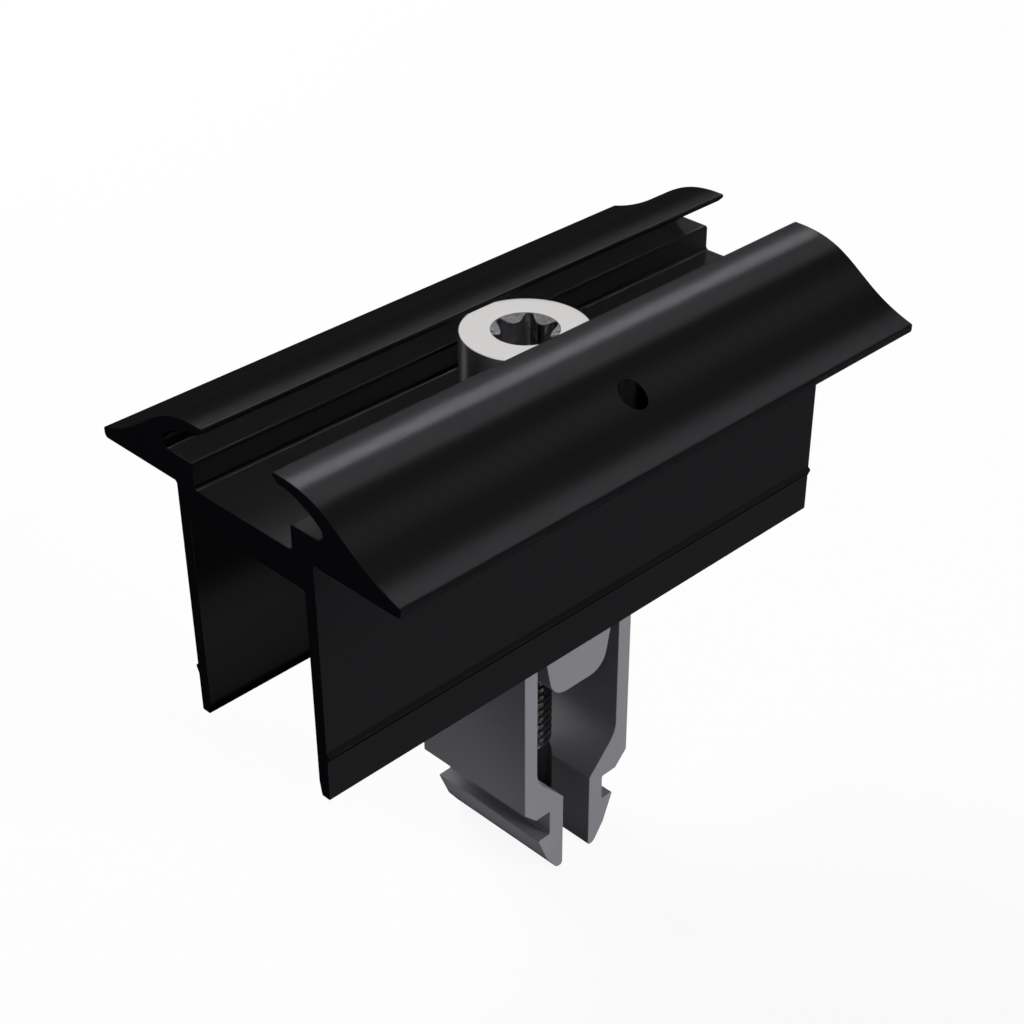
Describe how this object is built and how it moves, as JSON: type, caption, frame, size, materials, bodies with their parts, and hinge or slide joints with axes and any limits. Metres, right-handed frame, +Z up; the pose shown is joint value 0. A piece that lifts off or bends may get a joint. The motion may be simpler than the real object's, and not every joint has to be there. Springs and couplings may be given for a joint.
{
  "type": "solar mid clamp",
  "caption": "Black anodised clamp that holds neighbouring solar modules on a rail: extruded profile with wings and skirt, captive six-lobe screw and click-in slot nut.",
  "frame": {"origin": "on the screw's axis, in the plane of the barb tops, where the nut's hooks bear on the underside of the rail's lips", "axes": "+X along the extrusion and the gap between the modules, +Y across it, +Z up along the screw's axis"},
  "size_m": [0.07, 0.0412, 0.0643],
  "materials": {
    "black_anodised": "satin black anodised aluminium, extruded, with sawn ends",
    "stainless_steel": "plain stainless steel, finely turned",
    "plain_aluminium": "plain extruded aluminium, matt grey"
  },
  "bodies": {
    "nut": {"slot_nut": "plain_aluminium"},
    "clamp": {"clamp_profile": "black_anodised"},
    "screw": {"clamp_screw": "stainless_steel"}
  },
  "joints": [
    {"name": "clamp_height", "type": "slide", "parent": "nut", "child": "clamp", "axis": [0, 0, -1], "range_m": [-0.002, 0.018]},
    {"name": "screw_turn", "type": "hinge", "parent": "clamp", "child": "screw", "pos_m": [0, 0, 0.05188], "axis": [0, 0, -1], "range_deg": [-720, 6480]}
  ],
  "couplings": [
    {"joint": "screw_turn", "follows": "clamp_height", "rad_per_m": 6283.2}
  ]
}
